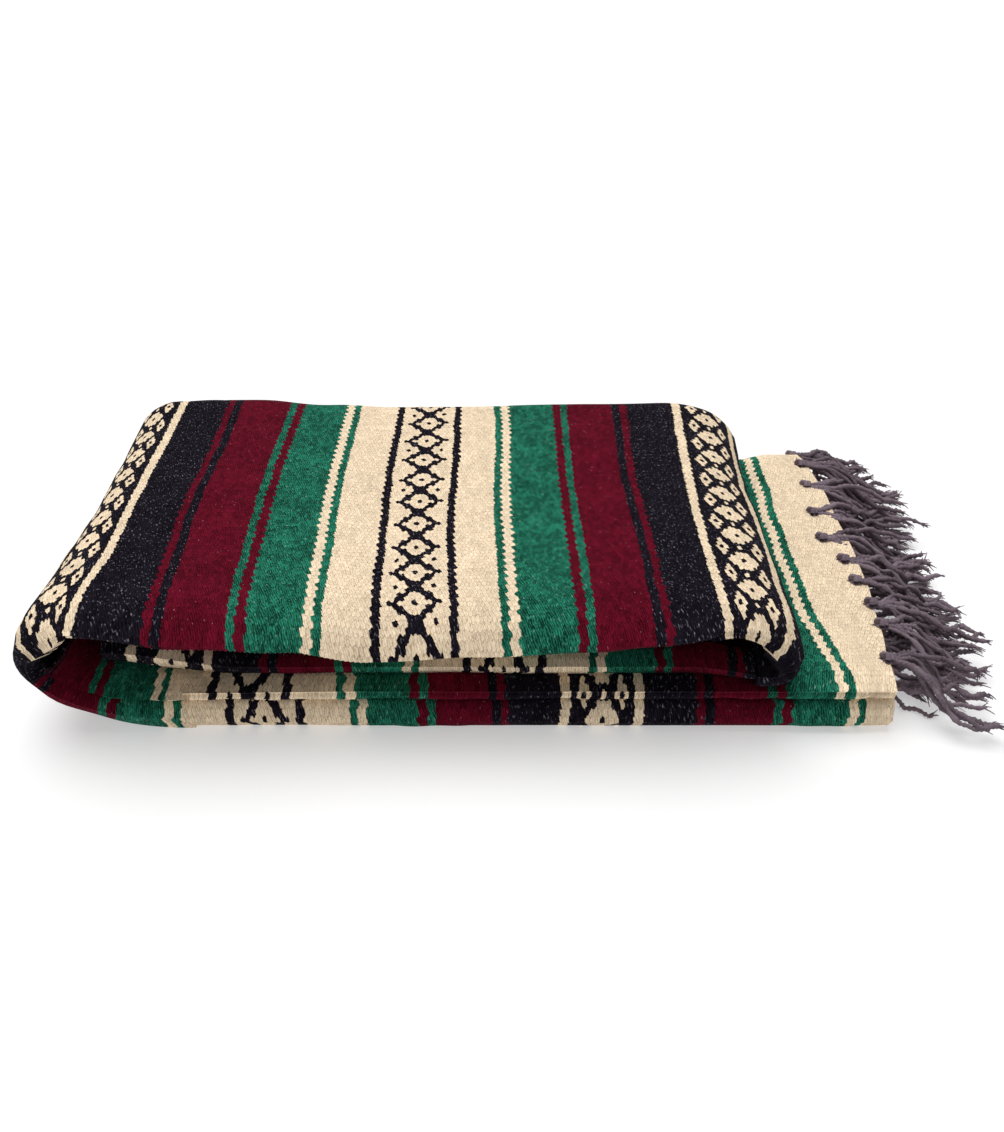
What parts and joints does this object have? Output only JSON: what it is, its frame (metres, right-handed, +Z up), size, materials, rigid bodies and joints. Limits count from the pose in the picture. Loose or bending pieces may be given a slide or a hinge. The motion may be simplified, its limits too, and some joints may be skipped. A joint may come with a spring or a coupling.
{
  "type": "folded striped serape blanket",
  "caption": "Striped, weft-faced cotton blanket folded into a flat bundle, with rounded folds at its sides and front and a knotted yarn fringe at one end.",
  "frame": {"origin": "centre of the folded bundle's footprint, on the floor, fringe included", "axes": "+X along the bundle towards the fringe, +Y from the open front folds to the closed back fold, +Z up"},
  "size_m": [0.7153, 0.3357, 0.1071],
  "materials": {
    "striped_cloth": "matte, coarse weft-faced weave of recycled yarn, striped in cream, black, maroon and green, with bands of small diamonds and flowers",
    "hidden_cloth": "the same cloth where only its dark folded edges show",
    "fringe_yarn": "matte grey warp yarn, plied and frayed"
  },
  "bodies": {
    "root": {"bottom_lower_fold": "striped_cloth", "bottom_upper_fold": "striped_cloth", "left_fold": "striped_cloth", "left_inner_fold": "striped_cloth", "top_panel": "striped_cloth", "right_fold": "striped_cloth", "middle_fold": "striped_cloth", "inner_layers": "hidden_cloth", "fringe_lower": "fringe_yarn", "fringe_upper": "fringe_yarn"}
  },
  "joints": []
}
